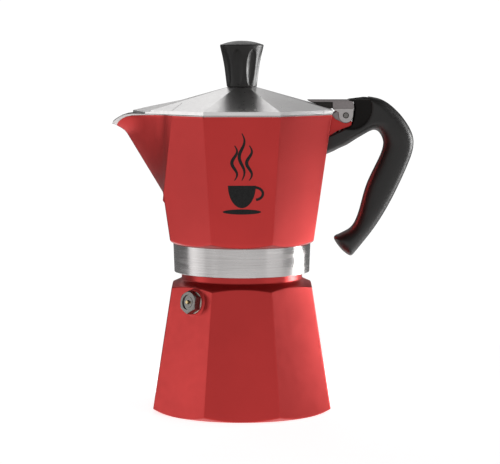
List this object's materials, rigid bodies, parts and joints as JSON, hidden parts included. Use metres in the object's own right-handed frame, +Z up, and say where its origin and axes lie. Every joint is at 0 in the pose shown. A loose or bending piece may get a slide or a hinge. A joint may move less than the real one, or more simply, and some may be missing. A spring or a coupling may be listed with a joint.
{
  "type": "moka pot",
  "caption": "Octagonal stove-top coffee maker: screw-on upper chamber with spout and hinged lid, curved handle, fluted knob, and a boiler with a relief valve.",
  "frame": {"origin": "centre of the boiler's flat foot", "axes": "+Z up through the knob, +X towards the handle, spout at -X, +Y away from the front"},
  "size_m": [0.1782, 0.1054, 0.2181],
  "materials": {
    "red_lacquer": "satin-gloss red lacquer on cast aluminium",
    "aluminium": "brushed",
    "steel": "turned",
    "brass": "machined",
    "black_resin": "semi-gloss moulded phenolic resin",
    "rubber": "matt"
  },
  "bodies": {
    "boiler": {"boiler": "red_lacquer", "valve_body": "steel", "valve_washer": "rubber", "valve_spring": "steel", "valve_cap": "steel", "funnel": "aluminium", "funnel_screen": "aluminium"},
    "valve_pin": {"valve_stem": "brass", "valve_seal": "rubber"},
    "seal": {"gasket": "rubber", "filter_plate": "aluminium"},
    "chamber": {"upper_chamber": "red_lacquer", "handle": "black_resin", "handle_screw": "steel", "handle_washer": "steel", "hinge_pin": "steel"},
    "lid": {"lid": "aluminium", "knob": "black_resin", "knob_insert": "brass", "knob_screw": "steel"}
  },
  "joints": [
    {"name": "valve_relief", "type": "slide", "parent": "boiler", "child": "valve_pin", "axis": [-0.6988, -0.6988, 0.1528], "range_m": [0, 0.0015], "stiffness_N_per_m": 400, "springref_m": -0.003, "deforming": ["valve_spring"]},
    {"name": "chamber_lift", "type": "slide", "parent": "boiler", "child": "seal", "axis": [0, 0, 1], "range_m": [0, 0.0071]},
    {"name": "chamber_turn", "type": "hinge", "parent": "seal", "child": "chamber", "pos_m": [0, 0, 0.09], "axis": [0, 0, 1], "range_deg": [0, 720]},
    {"name": "lid_hinge", "type": "hinge", "parent": "chamber", "child": "lid", "pos_m": [0.061, 0, 0.1745], "axis": [0, 1, 0], "range_deg": [0, 95]}
  ],
  "couplings": [
    {"joint": "chamber_lift", "follows": "chamber_turn", "m_per_rad": 0.00055704}
  ]
}
